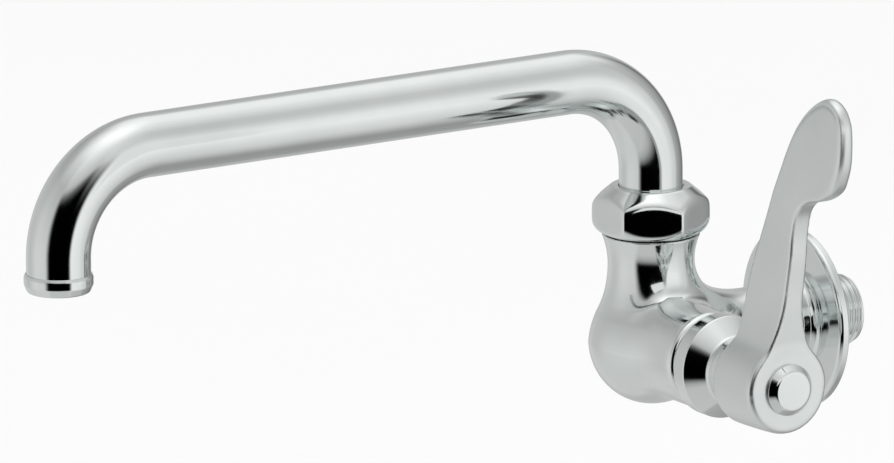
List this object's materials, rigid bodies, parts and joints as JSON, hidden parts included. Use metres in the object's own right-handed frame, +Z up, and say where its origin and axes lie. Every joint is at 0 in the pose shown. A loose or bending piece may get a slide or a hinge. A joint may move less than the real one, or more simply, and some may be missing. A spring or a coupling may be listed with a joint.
{
  "type": "wall faucet",
  "caption": "Commercial wall faucet with a round cast body, a level swing spout that turns down at its outlet, a hexagonal spout nut, and a wrist-blade lever on its side.",
  "frame": {"origin": "centre of the wall flange's back face, on the inlet's axis", "axes": "+Z up, +Y into the wall along the inlet, +X along the valve towards the lever"},
  "size_m": [0.1334, 0.2857, 0.119],
  "materials": {
    "polished_chrome": "polished chrome plate",
    "raw_brass": "machined",
    "stainless_steel": "machined",
    "sealing_rubber": "smooth",
    "bearing_plastic": "smooth",
    "white_ceramic": "lapped"
  },
  "bodies": {
    "faucet_body": {"valve_body": "polished_chrome", "wall_flange": "polished_chrome", "spout_nut": "polished_chrome", "nut_bearing_ring": "bearing_plastic", "neck_washer": "bearing_plastic", "bonnet": "polished_chrome", "cartridge_housing": "raw_brass", "housing_o_ring": "sealing_rubber", "seat_seal": "sealing_rubber", "fixed_disc": "white_ceramic"},
    "spout": {"spout_tube": "polished_chrome", "spout_tail": "raw_brass", "tail_o_ring_lower": "sealing_rubber", "tail_o_ring_upper": "sealing_rubber", "outlet_ring": "polished_chrome"},
    "handle": {"lever_handle": "polished_chrome", "handle_screw": "stainless_steel", "lock_washer": "stainless_steel", "index_cap": "polished_chrome", "spindle": "raw_brass", "moving_disc": "white_ceramic", "spindle_o_ring_inner": "sealing_rubber", "spindle_o_ring_outer": "sealing_rubber", "thrust_washer": "bearing_plastic", "spindle_clip": "stainless_steel"}
  },
  "joints": [
    {"name": "spout_swing", "type": "hinge", "parent": "faucet_body", "child": "spout", "pos_m": [0, -0.053, 0.05], "axis": [0, 0, 1], "range_deg": [-100, 54]},
    {"name": "handle_turn", "type": "hinge", "parent": "faucet_body", "child": "handle", "pos_m": [0.055, -0.053, 0], "axis": [1, 0, 0], "range_deg": [0, 90]}
  ]
}
